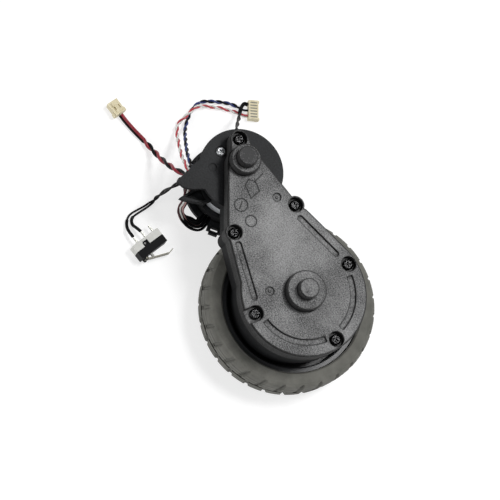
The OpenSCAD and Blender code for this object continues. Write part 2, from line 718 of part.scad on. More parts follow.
// Wheel: cup-shaped rim with its hub, tyre with two rows of lugs, screw and cap
module wheel_rim() color("#34363a") {
    difference() {
        union() {
            rotate_extrude($fn = 120) polygon([[0, web_z], [0, web_z + web_t], [rim_r - 2.4, web_z + web_t],
                [rim_r - 2.1, web_z + web_t + 4], [rim_r - lip_w, rim_top - 0.5], [rim_r - lip_w + 0.5, rim_top],
                [rim_r - 0.3, rim_top], [rim_r, rim_top - 0.4], [rim_r, rim_low + 0.4], [rim_r - 0.4, rim_low],
                [rim_r - 2.2, rim_low], [rim_r - 2.2, web_z]]);
            rod(hub_r, rim_low, hub_top);
            for (k = [0:rib_count - 1]) rotate(360 * k / rib_count)
                translate([hub_r - 0.6, -0.7, rim_low + 0.3]) cube([rim_r - hub_r - 1, 1.4, web_z - rim_low]);
            for (k = [0:5]) rotate(60 * k + 30)
                translate([hub_r - 0.6, -0.6, web_z + 0.7]) cube([4, 1.2, hub_top - web_z - 3.7]);
        }
        translate([0, 0, hex_low]) cylinder(r = shaft_r, h = hub_top, $fn = 6);
        rod(1.6, 0, hub_top);
        rod(6.05, 0, web_z);
    }
}
crown = tyre_d / 2;
shoulder = crown - 2.1;
function tread_r(t) = shoulder + (crown - shoulder) * sqrt(1 - pow(abs(t), 4));
function tread_z(t) = tyre_w / 2 * (1 + t);
// Points of the tread's section: a plain one, or the three of a fine ring
function tread_plain(t) = [[tread_r(t), tread_z(t)]];
function tread_sipe(t) = [[tread_r(t), tread_z(t) - 0.22], [tread_r(t) - sipe_d, tread_z(t)],
    [tread_r(t), tread_z(t) + 0.22]];
module tyre_blank() {
    rotate_extrude($fn = 180) polygon(concat(
        [[rim_r, 0.6], [rim_r + 0.6, 0], [shoulder, 0]],
        tread_plain(-0.92), tread_plain(-0.8), tread_sipe(-0.6), tread_sipe(-0.32), tread_plain(0),
        tread_sipe(0.32), tread_sipe(0.6), tread_plain(0.8), tread_plain(0.92),
        [[shoulder, tyre_w], [rim_r + 0.6, tyre_w], [rim_r, tyre_w - 0.6]]));
}
// One slanted groove between two lugs, wider outward and deeper toward the tyre's side
groove_lean = 10;
groove_tilt = 6;
groove_flare = 0.54;
module lug_groove(side) {
    row = tyre_w / 2 * 1.1 + 0.2;
    out = groove_depth + 2;
    half = groove_w / 2;
    translate([crown - groove_depth, 0, tyre_w / 2 - side * (row / 2 + 0.5)])
        rotate([side * groove_lean, side * groove_tilt, 0]) translate([0, 0, -row / 2]) linear_extrude(row)
        polygon([[0, -half], [out, -half - groove_flare * out], [out, half + groove_flare * out], [0, half]]);
}
module tyre() color("#6d6f6b") {
    mid = tyre_w / 2;
    difference() {
        tyre_blank();
        for (k = [0:lug_count - 1]) {
            rotate(360 * k / lug_count) lug_groove(1);
            rotate(360 * (k + 0.5) / lug_count) lug_groove(-1);
        }
        difference() {
            rod(crown + 1, mid - 0.8, mid + 0.8);
            rod(crown - groove_depth + 0.75, mid - 2, mid + 2);
        }
    }
}
module wheel_screw() color("#9fa1a4") {
    translate([0, 0, web_z]) mirror([0, 0, 1]) pan_screw(1.5, hub_top - web_z - 1.2, 2.9, 1.6);
}
module hub_cap() color("#2e3034") {
    rod(8.2, 0, rim_low);
    difference() {
        rod(6, 0, web_z);
        rod(5, rim_low, web_z + 1);
    }
}

// Drop switch: black cover, white base, three terminals, button and lever
module on_switch() {
    translate([switch_pos[0], switch_pos[1], 0]) rotate(switch_turn) children();
}
module switch_cover() color("#1a1a1c") {
    on_switch() difference() {
        union() {
            translate([-switch_l / 2, -cover_w / 2, 0]) cube([switch_l, cover_w, switch_t]);
            for (z = [0.5, switch_t - 1.2]) translate([hinge_x, hinge_y, z]) {
                cylinder(r = 0.75, h = 0.7);
                translate([-0.75, 0, 0]) cube([1.5, 1, 0.7]);
            }
            translate([-2.4, cover_w / 2 - eps, switch_t - 1]) cube([2.4, 2, 1]);
        }
        translate([hinge_x, hinge_y, -1]) cylinder(r = hinge_r + run_gap, h = switch_t + 2);
        translate([button_x, 1.6 - cover_w / 2, switch_t / 2]) rotate([90, 0, 0])
            cylinder(r = button_r + run_gap, h = cover_w);
        translate([-1.75, cover_w / 2 + 0.6, switch_t - 2]) cube([1.1, 0.9, 3]);
    }
}
module switch_base() color("#e8e8e4") {
    on_switch() difference() {
        translate([-switch_l / 2, cover_w / 2, 0]) cube([switch_l, base_w, switch_t]);
        translate([-2.5, cover_w / 2 - 1, switch_t - 1.1]) cube([2.6, 3.1, 2]);
    }
}
terminal_l = 3;
module switch_terminals() color("#b8b8b4") {
    on_switch() for (k = [-1:1]) translate([terminal_x + terminal_pitch * k - 0.25, cover_w / 2 + base_w, 2.1])
        cube([0.5, k == 1 ? terminal_l : terminal_l - 0.2, 1.6]);
}
button_out = (3.2 - button_r) * tan(lever_angle) - 0.1;
module switch_button() color("#d9d9d2") {
    on_switch() translate([button_x, 0.9 - cover_w / 2, switch_t / 2]) rotate([90, 0, 0])
        cylinder(r = button_r, h = 0.9 + 0.65 + button_out);
}
module switch_lever() color("#b5b7b8") {
    on_switch() translate([hinge_x, hinge_y, 0]) {
        translate([0, 0, 0.6]) cylinder(r = hinge_r, h = switch_t - 1.2);
        translate([0, 0, (switch_t - lever_w) / 2]) rotate(-lever_angle) {
            translate([0, -lever_t, 0]) cube([lever_l, lever_t, lever_w]);
            translate([lever_l, -lever_t, 0]) rotate(lever_angle + 12) cube([tip_l, lever_t, lever_w]);
        }
    }
}

// Connectors with their contacts
module on_plug() {
    translate([plug_pos[0], plug_pos[1], 0]) rotate(plug_turn) translate([-plug_size[0] / 2, 0, 0]) children();
}
module motor_connector() color("#e9e2c8") {
    on_plug() difference() {
        union() {
            translate([0, -plug_size[1] / 2, 0]) cube(plug_size);
            translate([0, -plug_size[1] / 2 - 0.6, 0.6]) cube([1.6, plug_size[1] + 1.2, plug_size[2] - 1.2]);
            translate([0.8, -1.2, plug_size[2] - eps]) cube([plug_size[0] - 1.6, 2.4, 0.4]);
        }
        for (s = [-1, 1]) translate([plug_size[0] - 2.6, s * 1.05 - 0.55, plug_size[2] / 2 - 0.55])
            cube([3, 1.1, 1.1]);
        for (s = [-1, 1]) translate([1.9, s * 1.05 - 0.45, plug_size[2] - 0.4]) cube([1.6, 0.9, 2]);
    }
}
module motor_contacts() color("#c9a45a") {
    on_plug() for (s = [-1, 1]) translate([plug_size[0] - 2.6, s * 1.05 - 0.4, plug_size[2] / 2 - 0.4])
        cube([1.8, 0.8, 0.8]);
}
module on_socket() {
    translate([socket_pos[0], socket_pos[1], 0]) rotate(socket_turn) children();
}
function socket_x(k) = (k - (socket_pins - 1) / 2) * socket_pitch;
module sensor_connector() color("#ece6d2") {
    on_socket() difference() {
        union() {
            translate([-socket_size[0] / 2, -socket_size[1] / 2, 0]) cube(socket_size);
            for (s = [-1, 1]) translate([s * (socket_size[0] / 2 - 0.4) - 0.5, -socket_size[1] / 2 - 0.5, 0])
                cube([1, 1.6, socket_size[2] - 0.6]);
        }
        for (k = [0:socket_pins - 1]) {
            translate([socket_x(k) - 0.35, -socket_size[1] / 2 - 1, 0.9]) cube([0.7, 2.2, 0.9]);
            translate([socket_x(k) - 0.32, -1.6, socket_size[2] - 0.45]) cube([0.64, 3, 1]);
        }
    }
}
module sensor_contacts() color("#c9a45a") {
    on_socket() for (k = [0:socket_pins - 1])
        translate([socket_x(k) - 0.32, -1.6, socket_size[2] - 0.45]) cube([0.64, 3, 0.3]);
}

// Lead swept along its route with an eight-sided section
sides = 8;
function unit(v) = v / norm(v);
function heading(p, i) = unit(p[min(i + 1, len(p) - 1)] - p[max(i - 1, 0)]);
function section(c, t, r) = let (s = unit(cross(t, [0, 0, 1])), u = cross(s, t))
    [for (k = [0:sides - 1]) c + r * (cos(360 * k / sides) * s + sin(360 * k / sides) * u)];
module tube(p, r) {
    last = len(p) - 1;
    points = [for (i = [0:last]) for (q = section(p[i], heading(p, i), r)) q];
    walls = [for (i = [0:last - 1]) for (k = [0:sides - 1]) let (n = (k + 1) % sides)
        [i * sides + k, i * sides + n, (i + 1) * sides + n, (i + 1) * sides + k]];
    polyhedron(points, concat(walls, [[for (k = [sides - 1:-1:0]) k]],
        [[for (k = [0:sides - 1]) last * sides + k]]), convexity = 6);
}
module motor_lead() color("#8c2430") {
    tube(motor_route, motor_lead_d / 2);
}
module sensor_lead_dark() color("#20243c") {
    tube(dark_route, sensor_lead_d / 2);
}
module sensor_lead_red() color("#b05058") {
    tube(red_route, sensor_lead_d / 2);
}
module connector_lead() color("#18181a") {
    tube(black_route, sensor_lead_d / 2);
}
module switch_wire_a() color("#18181a") {
    tube(wire_a_route, switch_wire_d / 2);
}
module switch_wire_b() color("#18181a") {
    tube(wire_b_route, switch_wire_d / 2);
}
module harness_loop() color("#3a2428") {
    tube(loop_route, loop_d / 2);
}
module channel_wire() color("#18181a") {
    at(motor_pos) translate([0, 0, split_z - drum_t - channel_r - 0.05]) rotate(channel_from)
        rotate_extrude(angle = channel_to - channel_from) translate([sleeve_r + channel_r + 0.05, 0])
        circle(channel_r, $fn = 24);
}

gearbox_base();
gearbox_cover();
cover_screws();
motor_screws();
gear_pins();
lower_bush();
upper_bush();
dust_seal();
motor_can();
motor_magnets();
motor_end_cap();
motor_bushes();
brush_terminals();
encoder_board();
hall_sensor();
motor_shaft();
armature();
commutator();
motor_pinion();
encoder_magnet();
compound_gear_1();
compound_gear_2();
compound_gear_3();
output_gear();
drive_shaft();
wheel_rim();
tyre();
wheel_screw();
hub_cap();
switch_cover();
switch_base();
switch_terminals();
switch_button();
switch_lever();
motor_connector();
motor_contacts();
sensor_connector();
sensor_contacts();
motor_lead();
sensor_lead_dark();
sensor_lead_red();
connector_lead();
switch_wire_a();
switch_wire_b();
harness_loop();
channel_wire();
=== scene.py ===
import math
import bpy
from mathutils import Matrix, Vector


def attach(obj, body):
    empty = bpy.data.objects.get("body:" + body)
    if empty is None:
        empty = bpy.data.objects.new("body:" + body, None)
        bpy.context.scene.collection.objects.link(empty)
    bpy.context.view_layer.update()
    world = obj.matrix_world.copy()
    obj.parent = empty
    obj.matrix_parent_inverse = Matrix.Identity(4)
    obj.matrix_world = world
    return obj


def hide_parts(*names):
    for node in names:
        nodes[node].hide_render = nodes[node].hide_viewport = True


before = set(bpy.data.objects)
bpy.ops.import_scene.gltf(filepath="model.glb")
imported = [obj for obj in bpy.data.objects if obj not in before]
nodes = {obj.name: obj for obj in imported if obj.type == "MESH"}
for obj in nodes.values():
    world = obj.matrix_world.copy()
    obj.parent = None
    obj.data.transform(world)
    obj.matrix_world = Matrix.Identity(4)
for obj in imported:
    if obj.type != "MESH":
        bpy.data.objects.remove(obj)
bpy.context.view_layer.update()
mm = 0.001

# camera at the photo's angle, looking down on the cover with the wheel's end low
camera = {
    "place": (-45.9, 180.2, 518.4),   # mm
    "right": (-0.4115, -0.8779, 0.2450),
    "up": (0.9017, -0.3527, 0.2502),
    "lens": 97.5,
    "sensor": 36,
    "clip": (0.05, 10),   # m
}


def addCamera(c):
    data = bpy.data.cameras.new("camera")
    data.lens, data.sensor_width, data.sensor_fit = c["lens"], c["sensor"], "HORIZONTAL"
    data.clip_start, data.clip_end = c["clip"]
    cam = bpy.data.objects.new("camera", data)
    bpy.context.scene.collection.objects.link(cam)
    right, up = Vector(c["right"]).normalized(), Vector(c["up"]).normalized()
    back = right.cross(up).normalized()
    up = back.cross(right)
    m = cam.matrix_world.copy()
    for row in range(3):
        m[row][0], m[row][1], m[row][2] = right[row], up[row], back[row]
        m[row][3] = c["place"][row] * mm
    cam.matrix_world = m
    bpy.context.scene.camera = cam


addCamera(camera)
print("camera set")


def hexColour(code):
    # sRGB hex to linear, as the shader wants it
    parts = [int(code[i:i + 2], 16) / 255 for i in (0, 2, 4)]
    return [p / 12.92 if p <= 0.04045 else ((p + 0.055) / 1.055) ** 2.4 for p in parts] + [1]


def addNode(mat, kind, settings=None, links=None):
    node = mat.node_tree.nodes.new(kind)
    for key, value in (settings or {}).items():
        if key in node.inputs.keys():
            node.inputs[key].default_value = value
        else:
            setattr(node, key, value)
    for key, source in (links or {}).items():
        mat.node_tree.links.new(source, node.inputs[key])
    return node


def startMaterial(name, colour, roughness, metallic=0.0, ior=1.5):
    mat = bpy.data.materials.new(name)
    mat.use_nodes = True
    shader = mat.node_tree.nodes["Principled BSDF"]
    shader.inputs["Base Color"].default_value = hexColour(colour)
    shader.inputs["Roughness"].default_value = roughness
    shader.inputs["Metallic"].default_value = metallic
    shader.inputs["IOR"].default_value = ior
    where = addNode(mat, "ShaderNodeTexCoord")
    return mat, shader, where.outputs["Object"]


def mapSpan(low, high, lowTo, highTo):
    # settings that map one range onto another
    return {"From Min": low, "From Max": high, "To Min": lowTo, "To Max": highTo}


def shadeBetween(mat, shader, factor, low, high, start=0.35, end=0.65):
    ramp = addNode(mat, "ShaderNodeValToRGB", None, {"Fac": factor})
    ramp.color_ramp.elements[0].position, ramp.color_ramp.elements[1].position = start, end
    ramp.color_ramp.elements[0].color = hexColour(low)
    ramp.color_ramp.elements[1].color = hexColour(high)
    mat.node_tree.links.new(ramp.outputs["Color"], shader.inputs["Base Color"])


def roughBetween(mat, shader, factor, low, high):
    spread = addNode(mat, "ShaderNodeMapRange", {"To Min": low, "To Max": high}, {"Value": factor})
    mat.node_tree.links.new(spread.outputs["Result"], shader.inputs["Roughness"])


def liftSurface(mat, shader, height, strength, distanceMm):
    bump = addNode(mat, "ShaderNodeBump", {"Strength": strength, "Distance": distanceMm * mm},
                   {"Height": height})
    mat.node_tree.links.new(bump.outputs["Normal"], shader.inputs["Normal"])


# painted shade in corners, on walls and along edges: how open a corner is, how level a face is and how flat
# an edge is, each from full effect to none
paintedShadeSpans = {"open": (0.45, 0.88), "cornerShade": 0.06, "level": (0.3, 0.9), "flat": (0.86, 0.996), "samples": 8}


def addPaintedShade(mat, shader, reachMm, wallShade, edgeMm, edgeShade):
    # painted shade: inner corners and grooves are darkened where shade falls in them, and faces turned
    # sideways are darkened as if the light above misses them
    near = addNode(mat, "ShaderNodeAmbientOcclusion", {"Distance": reachMm * mm, "samples": paintedShadeSpans["samples"]})
    spread = addNode(mat, "ShaderNodeMapRange", mapSpan(*paintedShadeSpans["open"], paintedShadeSpans["cornerShade"], 1.0),
                     {"Value": near.outputs["AO"]})
    where = addNode(mat, "ShaderNodeTexCoord")
    axes = addNode(mat, "ShaderNodeSeparateXYZ", None, {"Vector": where.outputs["Normal"]})
    level = addNode(mat, "ShaderNodeMath", {"operation": "ABSOLUTE"}, {0: axes.outputs["Z"]})
    wall = addNode(mat, "ShaderNodeMapRange", mapSpan(*paintedShadeSpans["level"], wallShade, 1.0),
                   {"Value": level.outputs[0]})
    both = addNode(mat, "ShaderNodeMath", {"operation": "MULTIPLY"},
                   {0: spread.outputs["Result"], 1: wall.outputs["Result"]})
    # painted shade: a dark line along each sharp edge, where a rounded normal leaves the true one
    rounded = addNode(mat, "ShaderNodeBevel", {"samples": paintedShadeSpans["samples"], "Radius": edgeMm * mm})
    surface = addNode(mat, "ShaderNodeNewGeometry")
    agree = addNode(mat, "ShaderNodeVectorMath", {"operation": "DOT_PRODUCT"},
                    {0: rounded.outputs["Normal"], 1: surface.outputs["True Normal"]})
    line = addNode(mat, "ShaderNodeMapRange", mapSpan(*paintedShadeSpans["flat"], edgeShade, 1.0),
                   {"Value": agree.outputs["Value"]})
    shade = addNode(mat, "ShaderNodeMath", {"operation": "MULTIPLY"},
                    {0: both.outputs[0], 1: line.outputs["Result"]})
    link = shader.inputs["Base Color"].links[0]
    mixed = addNode(mat, "ShaderNodeMix", {"data_type": "RGBA", "blend_type": "MULTIPLY"})
    mixed.inputs["Factor"].default_value = 1.0
    mat.node_tree.links.new(link.from_socket, mixed.inputs[6])
    mat.node_tree.links.new(shade.outputs[0], mixed.inputs[7])
    mat.node_tree.links.new(mixed.outputs[2], shader.inputs["Base Color"])
    return level.outputs[0]


spark = {"ior": 1.54, "grainDetail": 3, "grainRough": 0.7, "cloudMm": 14, "cloudDetail": 4,
         "ramp": (0.2, 0.9), "bumpMm": 0.2}


def sparkMoulded(name, settings):
    # ABS moulded in a spark eroded tool: an even grain, matt walls and a soft broad shine on top
    mat, shader, where = startMaterial(name, settings["mid"], settings["rough"], ior=spark["ior"])
    shader.inputs["Specular IOR Level"].default_value = settings["shine"]
    grain = addNode(mat, "ShaderNodeTexNoise",
                    {"Scale": 1 / (settings["grainMm"] * mm), "Detail": spark["grainDetail"],
                     "Roughness": spark["grainRough"]}, {"Vector": where})
    cloud = addNode(mat, "ShaderNodeTexNoise",
                    {"Scale": 1 / (spark["cloudMm"] * mm), "Detail": spark["cloudDetail"]}, {"Vector": where})
    mix = addNode(mat, "ShaderNodeMath", {"operation": "MULTIPLY_ADD"}, {0: grain.outputs["Fac"]})
    mix.inputs[1].default_value = settings["grainShare"]
    mat.node_tree.links.new(cloud.outputs["Fac"], mix.inputs[2])
    shift = addNode(mat, "ShaderNodeMath", {"operation": "SUBTRACT"}, {0: mix.outputs[0]})
    shift.inputs[1].default_value = settings["grainShare"] / 2
    tone = shift.outputs[0]
    for centre, radius, change in settings.get("paintedLightPatches", []):
        # painted highlight and painted shade: lighter where the light's sheen falls brightest, darker where
        # it fades
        place = addNode(mat, "ShaderNodeVectorMath", {"operation": "DISTANCE"}, {0: where})
        place.inputs[1].default_value = [c * mm for c in centre]
        fade = addNode(mat, "ShaderNodeMapRange",
                       {"interpolation_type": "SMOOTHSTEP", **mapSpan(0.0, radius * mm, change, 0.0)},
                       {"Value": place.outputs["Value"]})
        added = addNode(mat, "ShaderNodeMath", {"operation": "ADD"}, {0: tone, 1: fade.outputs["Result"]})
        tone = added.outputs[0]
    shadeBetween(mat, shader, tone, settings["dark"], settings["light"], *spark["ramp"])
    liftSurface(mat, shader, grain.outputs["Fac"], settings["bump"], spark["bumpMm"])
    # painted shade in inner corners, on walls and along edges
    level = addPaintedShade(mat, shader, settings["shadeReachMm"], settings["wallShade"], settings["edgeMm"],
                       settings["edgeShade"])
    flat = addNode(mat, "ShaderNodeMapRange",
                   mapSpan(*paintedShadeSpans["level"], settings["wallRough"], settings["rough"]), {"Value": level})
    mat.node_tree.links.new(flat.outputs["Result"], shader.inputs["Roughness"])
    return mat


# patches of painted highlight and painted shade: centre in mm, radius in mm, and how much lighter (+) or
# darker (-)
coverAbs = {
    "mid": "565656", "dark": "272728", "light": "929292", "rough": 0.5, "wallRough": 0.7, "wallShade": 0.22,
    "shine": 0.28, "grainMm": 0.48, "grainShare": 1.9, "bump": 0.5, "shadeReachMm": 1.3, "edgeMm": 0.75,
    "edgeShade": 0.0,
    "paintedLightPatches": [((26, -10, 37), 26, 0.2), ((15, 13, 37), 16, 0.08), ((56, 0, 37), 24, -0.2),
                ((56, 0, 42), 6, -0.4), ((8, -22, 37), 14, -0.05)],
}
baseAbs = {
    "mid": "1d1e1f", "dark": "151617", "light": "2a2b2d", "rough": 0.5, "wallRough": 0.75, "wallShade": 0.7,
    "shine": 0.15, "grainMm": 0.7, "grainShare": 1.4, "bump": 0.3, "shadeReachMm": 1.3, "edgeMm": 0.3,
    "edgeShade": 0.5,
}
rimAbs = {
    "mid": "242527", "dark": "1c1d1f", "light": "313234", "rough": 0.42, "wallRough": 0.5, "wallShade": 0.9,
    "shine": 0.5, "grainMm": 0.7, "grainShare": 0.8, "bump": 0.2, "shadeReachMm": 0.8, "edgeMm": 0.25,
    "edgeShade": 1.0,
}

rubber = {
    "mid": "64645e", "dark": "585852", "light": "71706a", "rough": (0.72, 0.9), "midRough": 0.82, "ior": 1.52,
    "dustMm": 6, "dustDetail": 6, "dustRough": 0.65, "ramp": (0.3, 0.7), "skinMm": 0.5, "skinDetail": 2,
    "bump": 0.25, "bumpMm": 0.08, "shadeReachMm": 1.0, "wallShade": 1.0, "edgeMm": 0.35, "edgeShade": 0.8,
}


def mouldedRubber(name, settings):
    # black rubber filled grey, matte, a faint dusty bloom and a fine skin from the mould
    mat, shader, where = startMaterial(name, settings["mid"], settings["midRough"], ior=settings["ior"])
    dust = addNode(mat, "ShaderNodeTexNoise",
                   {"Scale": 1 / (settings["dustMm"] * mm), "Detail": settings["dustDetail"],
                    "Roughness": settings["dustRough"]}, {"Vector": where})
    skin = addNode(mat, "ShaderNodeTexNoise",
                   {"Scale": 1 / (settings["skinMm"] * mm), "Detail": settings["skinDetail"]},
                   {"Vector": where})
    shadeBetween(mat, shader, dust.outputs["Fac"], settings["dark"], settings["light"], *settings["ramp"])
    roughBetween(mat, shader, dust.outputs["Fac"], *settings["rough"])
    liftSurface(mat, shader, skin.outputs["Fac"], settings["bump"], settings["bumpMm"])
    # painted shade: the grooves between the lugs are darkened where shade falls, and sharp edges get a faint
    # dark line
    addPaintedShade(mat, shader, settings["shadeReachMm"], settings["wallShade"], settings["edgeMm"],
               settings["edgeShade"])
    return mat


sheet = {"smoother": 0.1, "rougher": 0.12, "least": 0.05, "lineDetail": 3, "bump": 0.12, "bumpMm": 0.03}


def sheetSteel(name, colour, rough, lineMm, along):
    # plated sheet or drawn steel: bright, with fine lines from the draw
    mat, shader, where = startMaterial(name, colour, rough, 1.0)
    stretch = addNode(mat, "ShaderNodeMapping", {"Scale": along}, {"Vector": where})
    lines = addNode(mat, "ShaderNodeTexNoise", {"Scale": 1 / (lineMm * mm), "Detail": sheet["lineDetail"]},
                    {"Vector": stretch.outputs["Vector"]})
    roughBetween(mat, shader, lines.outputs["Fac"], max(rough - sheet["smoother"], sheet["least"]),
                 rough + sheet["rougher"])
    liftSurface(mat, shader, lines.outputs["Fac"], sheet["bump"], sheet["bumpMm"])
    return mat


head = {"dentMm": 0.8, "dentDetail": 3, "bump": 1.0, "bumpMm": 0.3, "oilRough": 0.1}


def pressedHead(name, low, high, rough, oil):
    # pressed steel screw head: small dents, and on the black ones a film of oil that gives small glints
    mat, shader, where = startMaterial(name, high, rough, 1.0)
    dents = addNode(mat, "ShaderNodeTexNoise",
                    {"Scale": 1 / (head["dentMm"] * mm), "Detail": head["dentDetail"]}, {"Vector": where})
    shadeBetween(mat, shader, dents.outputs["Fac"], low, high)
    shader.inputs["Coat Weight"].default_value = oil
    shader.inputs["Coat Roughness"].default_value = head["oilRough"]
    bump = addNode(mat, "ShaderNodeBump", {"Strength": head["bump"], "Distance": head["bumpMm"] * mm},
                   {"Height": dents.outputs["Fac"]})
    mat.node_tree.links.new(bump.outputs["Normal"], shader.inputs["Normal"])
    mat.node_tree.links.new(bump.outputs["Normal"], shader.inputs["Coat Normal"])
    return mat


smooth = {"cloudDetail": 4, "fineMm": 0.3, "fineDetail": 2, "ramp": (0.3, 0.7), "smoother": 0.05,
          "rougher": 0.08, "least": 0.05, "bump": 0.08, "bumpMm": 0.04}


def smoothMoulded(name, low, high, rough, patchMm=3.0, ior=1.5, shine=0.5):
    # nylon, acetal or PBT from a polished tool: even colour with a slight cloud, soft shine
    mat, shader, where = startMaterial(name, high, rough, ior=ior)
    shader.inputs["Specular IOR Level"].default_value = shine
    cloud = addNode(mat, "ShaderNodeTexNoise",
                    {"Scale": 1 / (patchMm * mm), "Detail": smooth["cloudDetail"]}, {"Vector": where})
    fine = addNode(mat, "ShaderNodeTexNoise",
                   {"Scale": 1 / (smooth["fineMm"] * mm), "Detail": smooth["fineDetail"]}, {"Vector": where})
    shadeBetween(mat, shader, cloud.outputs["Fac"], low, high, *smooth["ramp"])
    roughBetween(mat, shader, cloud.outputs["Fac"], max(rough - smooth["smoother"], smooth["least"]),
                 rough + smooth["rougher"])
    liftSurface(mat, shader, fine.outputs["Fac"], smooth["bump"], smooth["bumpMm"])
    return mat


finishes = {
    "cover": sparkMoulded("sparkErodedAbsGrey", coverAbs),
    "base": sparkMoulded("mouldedAbsCharcoal", baseAbs),
    "rim": sparkMoulded("mouldedAbsRim", rimAbs),
    "tyre": mouldedRubber("mouldedRubberGrey", rubber),
    "blackScrew": pressedHead("oiledBlackOxideSteel", "0e0e0f", "1d1d1e", 0.34, 0.55),
    "platedScrew": pressedHead("zincPlatedScrewHead", "8b8d8f", "dfe1e3", 0.42, 0.0),
    "platedSteel": sheetSteel("zincPlatedSteel", "c9cbcc", 0.3, 0.5, (1, 1, 1)),
    "motorCan": sheetSteel("drawnPlatedSteel", "dcdfe2", 0.6, 0.4, (1, 1, 8)),
    "tin": sheetSteel("tinPlatedBrass", "a9a9a3", 0.3, 0.3, (1, 6, 1)),
    "dullTin": sheetSteel("dullTinPlating", "77756b", 0.5, 0.3, (1, 1, 1)),
    "brass": sheetSteel("stampedBrass", "c79a4a", 0.3, 0.3, (1, 1, 1)),
    "bronze": sheetSteel("sinteredBronze", "a97f45", 0.5, 0.3, (1, 1, 1)),
    "copper": sheetSteel("enamelledCopper", "a8602f", 0.35, 0.3, (1, 1, 6)),
    "magnet": smoothMoulded("ferriteMagnet", "37373a", "45454a", 0.6),
    "acetal": smoothMoulded("naturalAcetal", "dcdacf", "e8e6dc", 0.35),
    "whitePbt": smoothMoulded("whitePbt", "bdbdb7", "cdcdc8", 0.38),
    "blackPbt": smoothMoulded("blackPbt", "0b0b0c", "131315", 0.5, shine=0.08),
    "nylon": smoothMoulded("naturalNylon", "cbbf9a", "dbd1b1", 0.42, 2.0, 1.53),
    "sealRubber": smoothMoulded("nitrileRubber", "1c1c1c", "252525", 0.7),
    "boardGreen": smoothMoulded("solderMaskGreen", "1f5b3a", "2a6d48", 0.3),
    "pvcRed": smoothMoulded("pvcRed", "74101f", "941a2c", 0.34, 2.0),
    "pvcPink": smoothMoulded("pvcPink", "b98a88", "cfa5a2", 0.34, 2.0),
    "pvcDarkRed": smoothMoulded("pvcDarkRed", "3c1016", "521820", 0.34, 2.0),
    "pvcRose": smoothMoulded("pvcRose", "a8323c", "c24850", 0.34, 2.0),
    "pvcBlack": smoothMoulded("pvcBlack", "070708", "0e0e10", 0.4, 2.0, shine=0.15),
    "pvcNavy": smoothMoulded("pvcNavy", "1e2a58", "2c3c7a", 0.36, 2.0),
    "pvcWhite": smoothMoulded("pvcWhite", "d0cfca", "e2e1dd", 0.36, 2.0),
}

nodeFinish = {
    "gearbox_cover": "cover", "gearbox_base": "base", "wheel_rim": "rim", "hub_cap": "rim", "tyre": "tyre",
    "cover_screws": "blackScrew", "motor_screws": "platedScrew", "wheel_screw": "platedSteel",
    "gear_pins": "platedSteel", "motor_shaft": "platedSteel", "drive_shaft": "platedSteel",
    "lower_bush": "bronze", "upper_bush": "bronze", "motor_bushes": "bronze", "dust_seal": "sealRubber",
    "motor_can": "motorCan", "motor_magnets": "magnet", "encoder_magnet": "magnet",
    "motor_end_cap": "blackPbt", "brush_terminals": "brass", "encoder_board": "boardGreen",
    "hall_sensor": "blackPbt", "armature": "copper", "commutator": "copper", "motor_pinion": "brass",
    "compound_gear_1": "acetal", "compound_gear_2": "acetal", "compound_gear_3": "acetal",
    "output_gear": "acetal", "switch_cover": "blackPbt", "switch_base": "whitePbt",
    "switch_button": "whitePbt", "switch_lever": "dullTin", "switch_terminals": "tin",
    "motor_connector": "nylon", "sensor_connector": "nylon", "motor_contacts": "brass",
    "sensor_contacts": "dullTin", "channel_wire": "pvcBlack",
}
for name, finish in nodeFinish.items():
    mesh = nodes[name].data
    mesh.materials.clear()
    mesh.materials.append(finishes[finish])
print("finishes set on", len(nodeFinish), "nodes")


